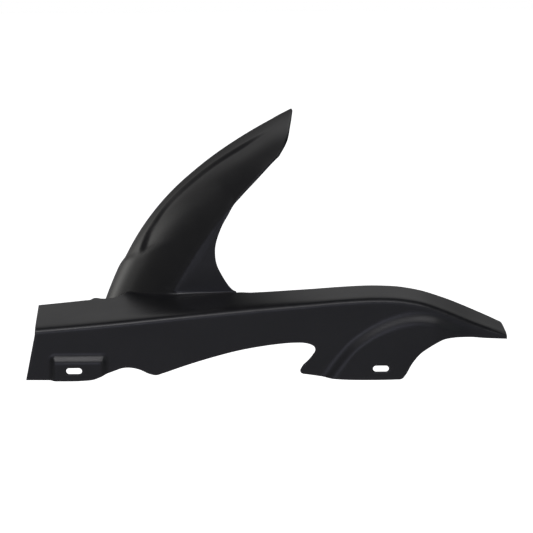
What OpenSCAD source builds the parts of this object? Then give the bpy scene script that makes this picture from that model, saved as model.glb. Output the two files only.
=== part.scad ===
// Rear mudguard with chain guard for a motorcycle, moulded in one piece.
// X points to the rear, Y to the right-hand side, Z up.
// The origin lies midway between the two mounting slots, on the outer face of their pads.

/* [Mounting slots] */
// Distance between the centres of the two slots
slot_spacing = 307; // [304:1:310]
// Length of each slot
slot_l = 16; // [13:1:19]
// Width of each slot, clearance for an M6 screw
slot_w = 6.6; // [6.2:0.1:7.4]

/* [Moulding] */
// Wall thickness
wall = 3; // [2.4:0.1:3.2]
// How far the side wall lies behind the faces of the pads
wall_set = 5; // [3:0.5:6]

/* [Chain guard] */
// Front end of the fold, ahead of the origin
nose_x = 192.4; // [188.4:1:199.4]
// Front lower corner, ahead of the origin
nose_low_x = 202.3; // [196.3:0.5:206.3]
// Rear end, behind the origin
tail_x = 279.7; // [274.7:1:289.7]
// Lower edge at the front, below the origin
low_z = 10.2; // [8:0.2:12]
// Lower edge at the rear pad, below the origin
lobe_z = 11.2; // [9:0.2:13]
// Height of the fold at the front
fold_front_z = 41.6; // [38:0.2:44]
// Height of the fold at its highest place
fold_top_z = 69.8; // [67:0.2:72]
// Radius of the fold between side wall and top band
fold_r = 5; // [3.6:0.2:6]
// Upward slope of the top band, degrees
band_tilt = 7.7; // [6.5:0.1:9]
// Inner edge of the top band at the front, from the pad faces
band_front_y = 79; // [74:0.5:84]
// Inner edge of the top band at the rear, from the pad faces
band_rear_y = 48; // [44:0.5:52]
// Height of the raised front pad above its slot centre
pad_top_z = 12.4; // [10:0.2:15]
// Width of the raised front pad
pad_w = 53; // [46:1:58]
// Height of the raised rear lobe above the origin
lobe_top_z = 50.8; // [46:0.2:54]

/* [Mudguard] */
// Wheel axle, behind the origin
axle_x = 192; // [190:0.5:194]
// Wheel axle, below the origin
axle_z = 91; // [89:0.5:93]
// Middle plane of the wheel, from the pad faces
wheel_y = 155; // [150:1:160]
// Radius of the crown about the axle
crown_r = 349.4; // [346:0.2:352]
// Radius of the skirt edge about the axle, half way up
skirt_r = 298; // [295:0.5:301]
// Angle of the foot above the horizontal, degrees
foot_a = 17; // [14:0.5:20]
// Angle of the tip above the horizontal, degrees
tip_a = 69.1; // [67.1:0.2:72.9]
// Depth of the recess beside the spine
recess_d = 2.6; // [1.6:0.1:3.2]
// Half width of the spine
spine_w = 21; // [18:0.5:24]
// Radius-like reach of the fillet at the foot of the web
fillet_d = 6.5; // [4:0.5:7.5]

/* [Hidden] */
slot_r = slot_w / 2;
tilt = tan(band_tilt);
web_y0 = wheel_y - 94.5;
// Line angles where the mudguard meets the band: start, web, end
t_in = 27.3;
t_web = 31.5;
t_out = 35.6;
x_web = -56.9;
x_out = 9;

// Curves: smooth interpolation through a few hand-set values
function knot(x, p, i = 0) =
    (i >= len(p) - 2 || x < p[i + 1][0]) ? i : knot(x, p, i + 1);
function grade(p, i) =
    let(n = len(p) - 1)
    let(a = max(i - 1, 0), b = min(i, n - 1))
    let(da = (p[a + 1][1] - p[a][1]) / (p[a + 1][0] - p[a][0]))
    let(db = (p[b + 1][1] - p[b][1]) / (p[b + 1][0] - p[b][0]))
    let(ha = p[a + 1][0] - p[a][0], hb = p[b + 1][0] - p[b][0])
    i == 0 ? db : i == n ? da : (da * hb + db * ha) / (ha + hb);
function curve(x, p) =
    let(q = min(max(x, p[0][0]), p[len(p) - 1][0]))
    let(i = knot(q, p), h = p[i + 1][0] - p[i][0], u = (q - p[i][0]) / h)
    (1 + 2 * u) * (1 - u) * (1 - u) * p[i][1]
    + u * (1 - u) * (1 - u) * h * grade(p, i)
    + u * u * (3 - 2 * u) * p[i + 1][1]
    + u * u * (u - 1) * h * grade(p, i + 1);
function soft(x, a, b) =
    let(u = min(max((x - a) / (b - a), 0), 1))
    u * u * (3 - 2 * u);
function steps(a, b, n) = [for (k = [0 : n - 1]) a + (b - a) * k / n];

// Chain guard
// Height of the fold along the guard
fold_line = [
    [-nose_x - 13, fold_front_z - 1.4], [-127, 46.5], [-47, 54.2], [28, 61.2],
    [79, fold_top_z - 4.4], [118, fold_top_z - 1.3], [150, fold_top_z],
    [176, fold_top_z - 1.4], [198, 64], [214, 58.2], [247, 44.2], [tail_x, 32.4]
];
function fold_z(x) = curve(x, fold_line);
function band_z(x, y) = fold_z(x) + (y - wall_set) * tilt;
// Lower edge: place on the fold, then X and Z of the edge below it
low_edge = [
    [-nose_x, -nose_low_x, 0.1 - low_z], [-172, -172, -0.2 - low_z], [-150, -150, 0.1 - low_z],
    [-141, -141, 1.1 - low_z], [-133, -133, -6.1], [-120, -120, -1.5],
    [-110, -110, 1.5], [-99, -99, 1.6], [-90, -90, -0.4], [-80, -80, -4.5],
    [-72, -72, -6.1], [-64, -64, -3.9], [-47, -47.5, 1.8], [-15, -15.4, 11.8],
    [17, 16.7, 19.8], [45, 48.7, 24.8], [62, 66, 26.2], [72, 76, 26.1],
    [82, 83.4, 24.4], [92, 87.3, 21.6], [102, 87.7, 17.5], [112, 84.5, 12.4],
    [122, 80, 7.2], [132, 75.3, 2.6], [140, 72.8, -2.8], [146, 75, -5.6],
    [151, 81, -6.5], [157, 92, -8.2], [163, 104, 1.2 - lobe_z], [169, 121, -lobe_z],
    [175, 144, -lobe_z - 0.4], [181, 168, -lobe_z - 0.1], [184, 174.3, 0.4 - lobe_z],
    [187, 178.1, -6.8], [193, 184.1, 3.9], [200, 192.2, 14.1], [207, 200.6, 20.5],
    [214, 208.6, 25.4], [221, 216.5, 29.2], [228, 224.5, 30.6], [241, 240.5, 30.9],
    [260, 258, 29.6], [tail_x, tail_x, 28.7]
];
low_x = [for (p = low_edge) [p[0], p[1]]];
low_zz = [for (p = low_edge) [p[0], p[2]]];
// Inner edge of the top band, ahead of the mudguard and behind it
inner_front = [
    [-nose_x, band_front_y - 1], [-170, band_front_y + 0.1], [-146, band_front_y + 1.4],
    [-141, band_front_y + 1.8], [-138.3, band_front_y + 5.4], [-135.5, band_front_y + 5.7],
    [-130, band_front_y + 2.3], [-124, band_front_y + 0.8], [-117, band_front_y + 1.6],
    [-112, band_front_y + 4.5], [-107, 89], [-103, 93.8]
];
inner_rear = [
    [8, 57], [17, 55.6], [33, 53.4], [70, band_rear_y + 2.6], [90, band_rear_y + 1.3],
    [130, band_rear_y + 0.1], [171, band_rear_y - 1.3], [198, band_rear_y - 1.6],
    [212, band_rear_y - 0.2], [232, band_rear_y + 2.1], [242, band_rear_y + 2.2],
    [252, band_rear_y + 0.6], [262, band_rear_y - 1.8], [tail_x, band_rear_y - 7]
];
// Raised pad around the front slot, 0 to 1; g grows it
function pad(x, z, g) =
    let(c = -slot_spacing / 2 + 4.5, w = pad_w / 2)
    soft(x, c - w - 3.5 - g, c - w + 3.5 - g) * (1 - soft(x, c + w - 3.5 + g, c + w + 3.5 + g))
    * (1 - soft(z, pad_top_z - 4.1 + g, pad_top_z + 4.1 + g));
// Raised lobe around the rear slot, bounded by a curved ridge
ridge = [
    [96, -18], [104.6, -4], [113.6, 8.5], [124, 20.8], [138.7, 32.6], [157.6, 42.9],
    [178.6, lobe_top_z - 1.3], [191.6, lobe_top_z], [205.6, lobe_top_z - 1.4],
    [228.6, 42], [252, 36]
];
function lobe(x, z, g) =
    let(s = x < 98 ? 1.5 : curve(x + 0.5, ridge) - curve(x - 0.5, ridge))
    let(d = (curve(x, ridge) - z) / sqrt(1 + s * s) + g)
    soft(d, -5.5, 5.5) * (1 - soft(x, 205, 252)) * soft(x, 88, 100);
function raise(x, z, g) = max(pad(x, z, g), lobe(x, z, g));

// Mudguard: arcs about the axle, t in degrees, a across from the wheel plane
crown_line = [
    [14, crown_r - 4.5], [25, crown_r - 2.8], [30, crown_r - 1.5], [35, crown_r - 0.1],
    [40, crown_r + 0.4], [44.5, crown_r + 0.3], [49, crown_r - 0.4], [53, crown_r - 0.7], [59, crown_r - 0.9],
    [64, crown_r - 0.1], [tip_a, crown_r + 1.8]
];
skirt_line = [
    [14, skirt_r - 7], [32, skirt_r - 6], [37, skirt_r - 3.5], [42, skirt_r],
    [47.5, skirt_r + 5.4], [52, skirt_r + 10.7], [56, skirt_r + 15.9],
    [60, skirt_r + 22], [63.5, skirt_r + 29.2], [tip_a, skirt_r + 42]
];
spine_line = [[14, spine_w], [45, spine_w], [62, spine_w + 8], [tip_a, spine_w + 10]];
function web_y(x) = max(web_y0 - 0.097 * x, web_y0 - 1);
function half_w(t) = wheel_y - web_y(min(axle_x - curve(t, skirt_line) * cos(t), 5));
function arch_r(t, a) =
    let(c = curve(t, crown_line), w = half_w(t) - 27, h = c - curve(t, skirt_line) - 1.09)
    let(u = min(max((a - 27) / w, 0), 1.2), k = 0.081 * w / h)
    a < 27 ? c - 0.0015 * a * a : c - 1.09 - h * (k * u + (1 - k) * pow(u, 2.4));
function arch(t, a, side) =
    let(r = arch_r(t, a))
    [axle_x - r * cos(t), wheel_y + side * a, r * sin(t) - axle_z];
// Near the tip the crown runs ahead of its edges, and the far side ahead of the near one
function lag(t, a, side) =
    let(d = pow(min(max((t - 57) / (tip_a - 57), 0), 1), 2), q = a / 90)
    t - d * (1.35 * pow(q, 2.15) + pow(q, 14) - 0.55 * q * side);
function arch_l(t, a, side) = arch(lag(t, a, side), a, side);
// Recess beside the spine and the prouder lower body
function relief(t, a, lean) =
    let(s = curve(t, spine_line))
    1.8 * (1 - soft(t - 28.2 - lean * a, -1, 1)) * (1 - soft(a, 30, 60))
    - recess_d * soft(a, s, s + 9) * (1 - soft(a, s + 14, 80))
    * soft(t - 29 - 0.15 * a, -1.5, 1.5) * (1 - soft(t, 58, 67));
// Free edge of the web and the skirt: line angle, then X and Z
cove = [
    [t_out, x_out, 66.8], [36.8, 5.5, 68.3], [38, 2.6, 71], [40, -2, 77.2],
    [42, -6.8, 85.6], [44, -10.6, 93.9], [45.7, -12.2, 102.2], [47, -12.3, 110.5],
    [48.3, -10.9, 118.8], [49.5, -8.2, 127], [50.5, -4.7, 135.3], [51.5, -0.2, 143.5],
    [52.8, 4.4, 151.5], [54.3, 10.4, 159.6], [56, 17.2, 167.6]
];
cove_x = [for (p = cove) [p[0], p[1]]];
cove_z = [for (p = cove) [p[0], p[2]]];

// Where the mudguard meets the top band
function above(t, a) =
    let(p = arch(t, a, -1))
    p[2] - band_z(p[0], p[1]);
function meet_a(t, lo, hi, n = 24) =
    let(m = (lo + hi) / 2)
    n == 0 ? m : above(t, m) > 0 ? meet_a(t, m, hi, n - 1) : meet_a(t, lo, m, n - 1);
function foot_x(t) =
    let(u = (t - t_web) / (t_out - t_web))
    x_web + (x_out - x_web) * (0.45 * u + 0.55 * u * u);
function corner(t) =
    let(x = foot_x(t), y = web_y(x))
    t <= t_web ? arch(t, meet_a(t, 30, half_w(t)), -1) : [x, y, band_z(x, y)];
function reach(t) =
    curve(t, [[t_in, 1.2], [28.4, fillet_d / 2], [29.8, fillet_d], [34.2, fillet_d], [t_out, 1]]);
function toe(t) =
    let(q = corner(min(t + 0.2, t_out)) - corner(max(t - 0.2, t_in)), c = corner(t))
    let(n = norm([q[0], q[1]]), d = reach(t))
    let(x = c[0] + d * q[1] / n, y = c[1] - d * q[0] / n)
    [x, y, band_z(x, y)];

// One cross line of the mudguard, left edge to crown to right edge
function edge_pt(t) =
    let(x = curve(t, cove_x), k = soft(t, 52, 54.3))
    t <= t_web ? arch(t, meet_a(max(t, t_in), 30, half_w(t)), -1)
    : t <= t_out ? corner(t)
    : t < 54.3 ? [x, web_y(x), curve(t, cove_z)] * (1 - k) + arch_l(t, half_w(t), -1) * k
    : arch_l(t, half_w(t), -1);
function edge_a(t) = t <= t_web ? meet_a(max(t, t_in), 30, half_w(t)) : half_w(t);
function along(t, s, e, c, l, a) =
    s < l ? e + (c - e) * s / l : arch_l(t, a - 0.65 * (s - l), -1);
function line(t) =
    let(e = edge_pt(t), a = edge_a(t), w = half_w(t))
    let(c = t <= t_web ? e : arch_l(t, w, -1), l = norm(c - e), m = max(l, 14))
    let(joined = t >= t_in && t <= t_out, d = reach(t), s = toe(min(max(t, t_in), t_out)))
    let(f = along(t, d, e, c, l, a), b = a - 0.65 * (m - l))
    concat(
        joined
        ? concat(
            [for (u = steps(0, 1, 4)) (1 - u) * (1 - u) * s + 2 * u * (1 - u) * e + u * u * f],
            [for (k = [0 : 3]) along(t, d + (m - d) * k / 3, e, c, l, a)]
        )
        : [for (k = [0 : 7]) along(t, m * k / 7, e, c, l, a)],
        [for (k = [1 : 5]) arch_l(t, b + (40 - b) * k / 5, -1)],
        [for (k = [1 : 4]) arch_l(t, 40 - 18 * k / 4, -1)],
        [for (k = [1 : 2]) arch_l(t, 22 - 11 * k, -1)],
        [for (k = [1 : 2]) arch_l(t, 11 * k, 1)],
        [for (k = [1 : 4]) arch_l(t, 22 + 18 * k / 4, 1)],
        [for (k = [1 : 5]) arch_l(t, 40 + (w - 40) * k / 5, 1)]
    );
t_join = concat(steps(t_in, t_web, 7), steps(t_web, t_out, 12), [t_out]);
t_list = concat(
    steps(foot_a, t_in, 5), t_join, [for (t = steps(t_out, 40, 4)) if (t > t_out) t],
    steps(40, 54, 12), steps(54, tip_a, 12), [tip_a]
);
mud = [for (t = t_list) line(t)];
mi = len(mud) - 1;
mj = len(mud[0]) - 1;
i_in = 5;
i_out = i_in + len(t_join) - 1;

// Columns of the chain guard: place on the fold, then inner end
toes = [for (t = t_join) toe(t)];
front_cols = [
    for (x = [-nose_x, -186, -179.5, -175.5, -172, -164, -155, -147, -142.5, -140.3, -138.5,
              -135.5, -132.5, -129.5, -126, -122, -118, -114, -110.5, -107.5])
    if (x < toes[0][0] - 1.5)
    let(k = soft(x, -109, toes[0][0]))
    [x, x < -180 ? x + 2 * (x + 180) / 12 : x,
     curve(x, inner_front) * (1 - k) + toes[0][1] * k]
];
last = toes[len(toes) - 1];
rear_cols = [
    for (x = concat([for (u = steps(last[0], 70, 12)) if (u > last[0]) u],
                    [for (u = [70 : 5 : 135]) u], [for (u = [140 : 4 : 188]) u],
                    [for (u = [192 : 5 : 247]) u],
                    steps(252, tail_x, 6), [tail_x - 1.5, tail_x]))
    let(k = soft(x, last[0], 24))
    [x, x, curve(x, inner_rear) * k + last[1] * (1 - k)]
];
cols = concat(front_cols, [for (p = toes) [p[0], p[0], p[1]]], rear_cols);
k_in = len(front_cols);
k_out = k_in + len(toes) - 1;
// One cross line of the chain guard: lower edge, side wall, fold, band
function column(c) =
    let(x = c[0], ex = curve(x, low_x), ez = curve(x, low_zz), top = fold_z(x))
    let(r = min(fold_r, 0.5 * (top - ez)), turn = 90 - band_tilt, l = r * tan(turn / 2))
    let(h = soft(x, 78, 96) * (1 - soft(x, 196, 214)), z1 = top - l)
    let(y2 = wall_set + l * cos(band_tilt), tail = soft(x, 258, tail_x))
    concat(
        [for (w = steps(0, 1, 8))
            let(v = 1 - w)
            [x + (ex - x) * (v + h * v * (v - 1)), wall_set, ez + (z1 - ez) * w]],
        [for (g = steps(0, turn, 4)) [x, wall_set + r - r * cos(g), z1 + r * sin(g)]],
        [for (k = [0 : 4])
            let(w = k / 4, y = y2 + (c[2] - y2) * w, q = x + (c[1] - x) * w)
            [q - tail * (2.2 * w + 1.2 * pow(w, 8)), y, band_z(q, y)]]
    );
grd = [for (c = cols) column(c)];
gi = len(grd) - 1;
gj = len(grd[0]) - 1;

// Shell: both skins and the rim between them
function unit(v) = v / max(norm(v), 0.000001);
function face_n(g, i, j, ni, nj) =
    unit(cross(g[min(i + 1, ni)][j] - g[max(i - 1, 0)][j],
               g[i][min(j + 1, nj)] - g[i][max(j - 1, 0)]));
function thick(x) = wall * (1 - 0.6 * soft(x, 215, tail_x + 4));
grd_n = [for (i = [0 : gi]) [for (j = [0 : gj]) face_n(grd, i, j, gi, gj)]];
mud_n = [for (i = [0 : mi]) [for (j = [0 : mj]) face_n(mud, i, j, mi, mj)]];
function mud_relief(p) =
    let(x = p[0] - axle_x, z = p[2] + axle_z)
    relief(atan2(z, -x), abs(p[1] - wheel_y), p[1] < wheel_y ? 0.1 : 0.02);
grd_out = [
    for (i = [0 : gi]) for (j = [0 : gj])
    let(p = grd[i][j])
    j <= 8 ? p - [0, wall_set * raise(p[0], p[2], 0), 0] : p
];
grd_in = [
    for (i = [0 : gi]) for (j = [0 : gj])
    let(p = grd[i][j], n = grd_n[i][j], t = thick(p[0]))
    j < 8 ? [p[0], wall_set + t - wall_set * raise(p[0], p[2], -1.5), p[2]] : p - n * t
];
mud_out = [
    for (i = [0 : mi]) for (j = [0 : mj])
    mud[i][j] + mud_n[i][j] * mud_relief(mud[i][j])
];
mud_in = [
    for (i = [0 : mi]) for (j = [0 : mj])
    mud[i][j] + mud_n[i][j] * (mud_relief(mud[i][j]) - wall)
];
skin = concat(grd_out, mud_out);
total = len(skin);
function gv(i, j) = i * (gj + 1) + j;
function mv(i, j) =
    j == 0 && i >= i_in && i <= i_out ? gv(k_in + i - i_in, gj)
    : len(grd_out) + i * (mj + 1) + j;
outer_quads = concat(
    [for (i = [0 : gi - 1]) for (j = [0 : gj - 1])
        [gv(i, j), gv(i, j + 1), gv(i + 1, j + 1), gv(i + 1, j)]],
    [for (i = [0 : mi - 1]) for (j = [0 : mj - 1])
        [mv(i, j), mv(i, j + 1), mv(i + 1, j + 1), mv(i + 1, j)]]
);
rim = concat(
    [for (i = [0 : gi - 1]) gv(i, 0)],
    [for (j = [0 : gj - 1]) gv(gi, j)],
    [for (i = [gi : -1 : k_out + 1]) gv(i, gj)],
    [for (i = [i_out : mi - 1]) mv(i, 0)],
    [for (j = [0 : mj - 1]) mv(mi, j)],
    [for (i = [mi : -1 : 1]) mv(i, mj)],
    [for (j = [mj : -1 : 1]) mv(0, j)],
    [for (i = [0 : i_in - 1]) mv(i, 0)],
    [for (i = [k_in : -1 : 1]) gv(i, gj)],
    [for (j = [gj : -1 : 1]) gv(0, j)]
);
nr = len(rim);
faces_all = concat(
    [for (q = outer_quads) [q[0], q[1], q[2]]],
    [for (q = outer_quads) [q[0], q[2], q[3]]],
    [for (q = outer_quads) [total + q[2], total + q[1], total + q[0]]],
    [for (q = outer_quads) [total + q[3], total + q[2], total + q[0]]],
    [for (k = [0 : nr - 1])
        let(a = rim[k], b = rim[(k + 1) % nr])
        [a, b, total + b]],
    [for (k = [0 : nr - 1])
        let(a = rim[k], b = rim[(k + 1) % nr])
        [a, total + b, total + a]]
);

module shell() {
    polyhedron(points = concat(skin, grd_in, mud_in), faces = faces_all, convexity = 10);
}

// Slot outline: two round ends joined by a rectangle
module slot() {
    rotate([90, 0, 0])
    translate([0, 0, -12])
    linear_extrude(height = 16)
    union() {
        square([slot_l - slot_w, slot_w], center = true);
        translate([-slot_l / 2 + slot_r, 0]) circle(r = slot_r);
        translate([slot_l / 2 - slot_r, 0]) circle(r = slot_r);
    }
}

module hugger() {
    color([0.05, 0.05, 0.055])
    difference() {
        shell();
        translate([-slot_spacing / 2, 0, 0]) slot();
        translate([slot_spacing / 2, 0, 0]) slot();
    }
}

hugger();
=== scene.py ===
"""Looks of a motorcycle's rear mudguard with chain guard, one moulding of satin black plastic.

The frame has X to the rear, Y to the right and Z up, with the origin midway between the two fixing
slots on the outer face of their pads. Forms are worked out in millimetres, meshes are in metres.
"""

import logging
import math
from dataclasses import dataclass, field
from enum import Enum

import bpy
import numpy as np
from mathutils import Matrix, Vector


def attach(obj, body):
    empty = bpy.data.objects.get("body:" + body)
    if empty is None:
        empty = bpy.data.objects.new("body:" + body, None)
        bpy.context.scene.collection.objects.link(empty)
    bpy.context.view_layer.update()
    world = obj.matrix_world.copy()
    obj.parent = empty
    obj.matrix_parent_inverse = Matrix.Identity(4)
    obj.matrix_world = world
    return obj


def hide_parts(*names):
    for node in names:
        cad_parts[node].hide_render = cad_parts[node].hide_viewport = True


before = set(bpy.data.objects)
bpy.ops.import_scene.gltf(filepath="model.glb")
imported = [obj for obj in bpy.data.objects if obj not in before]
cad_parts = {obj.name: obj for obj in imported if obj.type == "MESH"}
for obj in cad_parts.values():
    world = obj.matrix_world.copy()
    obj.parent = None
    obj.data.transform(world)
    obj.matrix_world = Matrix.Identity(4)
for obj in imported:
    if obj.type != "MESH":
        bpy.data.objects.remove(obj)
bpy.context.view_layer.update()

Array = np.ndarray
Socket = bpy.types.NodeSocket
METRES = 0.001
WHITE = (1.0, 1.0, 1.0, 1.0)
FAR = 99.0  # distance, in millimetres, of a point that has no free edge or fold near it
log = logging.getLogger("rear_mudguard")


class Flank(Enum):
    """Which side of the wheel plane a point of the arch lies on, as the sign of its Y offset."""

    LEFT = -1.0
    RIGHT = 1.0


class Mark(Enum):
    """Names of the float attributes that the finish reads from the mesh."""

    # Wear at the free edges, plus a painted highlight along the chain guard's fold and the arch's
    # crease.
    EDGE = "edge_wear_and_fold_highlight"
    INSIDE = "inside_mark"


# Curves and small array tools


def soft(x: Array, start: float | Array, end: float | Array) -> Array:
    """Smooth step from 0 at start to 1 at end: u*u*(3-2u), with u held between 0 and 1.

    Args:
        x: Where the step is read.
        start: Place where it leaves 0.
        end: Place where it reaches 1.

    Returns:
        The step.
    """
    u = np.clip((np.asarray(x, float) - start) / (end - start), 0.0, 1.0)
    return u * u * (3.0 - 2.0 * u)


def blend(first: Array, second: Array, share: Array) -> Array:
    """Mix of two point arrays, share 0 giving the first and 1 the second."""
    return first * (1.0 - share[..., None]) + second * share[..., None]


def parabola(first: Array, corner: Array, last: Array, u: Array) -> Array:
    """Point at share u of the parabola that leaves first and reaches last towards the corner."""
    u = u[..., None]
    return (1 - u) ** 2 * first + 2 * u * (1 - u) * corner + u * u * last


def unit(vectors: Array) -> Array:
    """Vectors divided by their own length."""
    return vectors / np.maximum(np.linalg.norm(vectors, axis=-1, keepdims=True), 1e-9)


@dataclass(frozen=True)
class Curve:
    """A smooth curve through a few given knots.

    Between two knots it is the cubic with slopes averaged from their neighbours. Beyond the ends
    it keeps the end values.
    """

    knots: tuple[tuple[float, float], ...]

    def __call__(self, x: Array | float) -> Array:
        """Value of the curve.

        Args:
            x: Places to read.

        Returns:
            The values.
        """
        places, values = np.array(self.knots, float).T
        gaps = np.diff(places)
        rises = np.diff(values) / gaps
        slopes = np.concatenate([rises[:1], rises[-1:]])
        inner = (rises[:-1] * gaps[1:] + rises[1:] * gaps[:-1]) / (gaps[1:] + gaps[:-1])
        slopes = np.insert(slopes, 1, inner)
        at = np.clip(np.asarray(x, float), places[0], places[-1])
        i = np.clip(np.searchsorted(places, at, side="right") - 1, 0, len(places) - 2)
        h = gaps[i]
        u = (at - places[i]) / h
        v = 1.0 - u
        start = v * v * ((1.0 + 2.0 * u) * values[i] + u * h * slopes[i])
        end = u * u * ((3.0 - 2.0 * u) * values[i + 1] + (u - 1.0) * h * slopes[i + 1])
        return start + end


def ramp(*parts: tuple[float, float, int]) -> Array:
    """Ascending values made of even stretches, each given as start, end and number of steps.

    Args:
        parts: The stretches in order, each starting where the last one ended.

    Returns:
        The values.
    """
    steps = [np.linspace(start, end, count + 1)[:-1] for start, end, count in parts]
    return np.concatenate(steps + [np.array([parts[-1][1]])])


# Forms


@dataclass(frozen=True)
class Mudguard:
    """The arch over the wheel, by cross lines about the axle.

    A place on it has an angle t along, in degrees above the horizontal in front of the axle, and
    a distance a across from the wheel plane, in millimetres.
    """

    axle_x: float = 192.0
    axle_z: float = 91.0
    wheel_y: float = 155.0
    half_w: float = 95.0
    web_w: float = 94.5
    web_lean: float = 0.097
    turn_per_mm: float = 0.164
    shoulder: float = 27.0
    bow: float = 0.0015
    entry_slope: float = 0.081
    fall: float = 1.09
    side_power: float = 2.4
    foot_a: float = 17.0
    foot_from: float = 27.0
    foot_round: float = 4.5
    tip_a: float = 69.1
    tip_from: float = 57.0
    tip_reach: float = 12.1
    tip_lag: float = 1.35
    tip_skew: float = 0.55
    recess: float = 3.0
    flank_w: float = 10.0
    prouder: float = 1.8
    crown: Curve = Curve((
        (14, 344.9), (25, 346.6), (30, 347.9), (35, 349.3), (40, 349.8), (44.5, 349.7), (49, 349),
        (53, 348.7), (59, 348.5), (64, 349.3), (69.7, 351.2),
    ))
    skirt: Curve = Curve((
        (14, 291), (32, 292), (37, 294.5), (42, 298), (47.5, 303.4), (52, 308.7), (56, 313.9),
        (60, 320), (63.5, 327.2), (69.7, 340),
    ))
    spine: Curve = Curve((
        (17, 50), (34, 48), (36, 41), (37.5, 36), (39.5, 32), (42, 26), (47, 23), (53, 23.5),
        (60, 27.5), (69.7, 30),
    ))

    def web_y(self, x: Array) -> Array:
        """Y of the flat web, a plane that leans along X and then stays level."""
        level = self.wheel_y - self.web_w
        return np.maximum(level - self.web_lean * x, level - 1.0)

    def half_width(self, t: Array) -> Array:
        """Distance across from the wheel plane to the skirt edge."""
        x = self.axle_x - self.skirt(t) * np.cos(np.radians(t))
        return self.wheel_y - np.maximum(self.web_y(x), self.wheel_y - self.half_w)

    def point(self, t: Array, a: Array, flank: Array | float = Flank.LEFT.value) -> Array:
        """Point of the bare arch.

        The radius is the crown's, less bow*a*a across the middle. Past the shoulder it falls to
        the skirt by drop*(k*u + (1-k)*u**power), u being the share of the way.

        Args:
            t: Angle along.
            a: Distance across.
            flank: Sign of the side.

        Returns:
            X, Y and Z along a last axis.
        """
        width = self.half_width(t) - self.shoulder
        drop = self.crown(t) - self.skirt(t) - self.fall
        u = np.clip((a - self.shoulder) / width, 0.0, 1.2)
        k = self.entry_slope * width / drop
        side = self.crown(t) - self.fall - drop * (k * u + (1.0 - k) * u**self.side_power)
        r = np.where(a < self.shoulder, self.crown(t) - self.bow * a * a, side)
        angle = np.radians(t)
        x = self.axle_x - r * np.cos(angle)
        return np.stack([x, self.wheel_y + flank * a, r * np.sin(angle) - self.axle_z], -1)

    def shaped(self, t: Array, a: Array, flank: Array | float = Flank.LEFT.value) -> Array:
        """Point of the arch with its end outline.

        The tip's sides lag behind its middle by lag*q**2.15 + q**14 - skew*q*flank degrees, with
        q = a/90, and the foot's corners are rounded by round*q**8 degrees.

        Args:
            t: Angle along.
            a: Distance across.
            flank: Sign of the side.

        Returns:
            X, Y and Z along a last axis.
        """
        q = a / 90.0
        lag = self.tip_lag * q**2.15 + 1.0 * q**14 - self.tip_skew * q * flank
        tip = np.clip((t - self.tip_from) / self.tip_reach, 0.0, 1.0) ** 2 * lag
        foot = self.foot_round * np.clip((self.foot_from - t) / 10.0, 0.0, 1.0) ** 2 * q**8
        return self.point(t - tip + foot, a, flank)

    def relief(self, t: Array, a: Array, flank: Array) -> Array:
        """Height of the raised and sunk fields.

        The prouder lower body less the recess beside the spine, each a product of smooth steps.

        Args:
            t: Angle along.
            a: Distance across.
            flank: Negative on the left.

        Returns:
            Height above the arch.
        """
        edge = self.spine(t)
        lean = np.where(flank < 0.0, 0.10, 0.02)
        low = self.prouder * (1 - soft(t - 28.2 - lean * a, -1.0, 1.0)) * (1 - soft(a, 38, 60))
        across = soft(a, edge, edge + self.flank_w) * (1 - soft(a, 46.0, 86.0))
        along = soft(t - 20.2 - 0.27 * a, -1.1, 1.1) * (1 - soft(t, 58.0, 67.0))
        return low - self.recess * across * along


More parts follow.
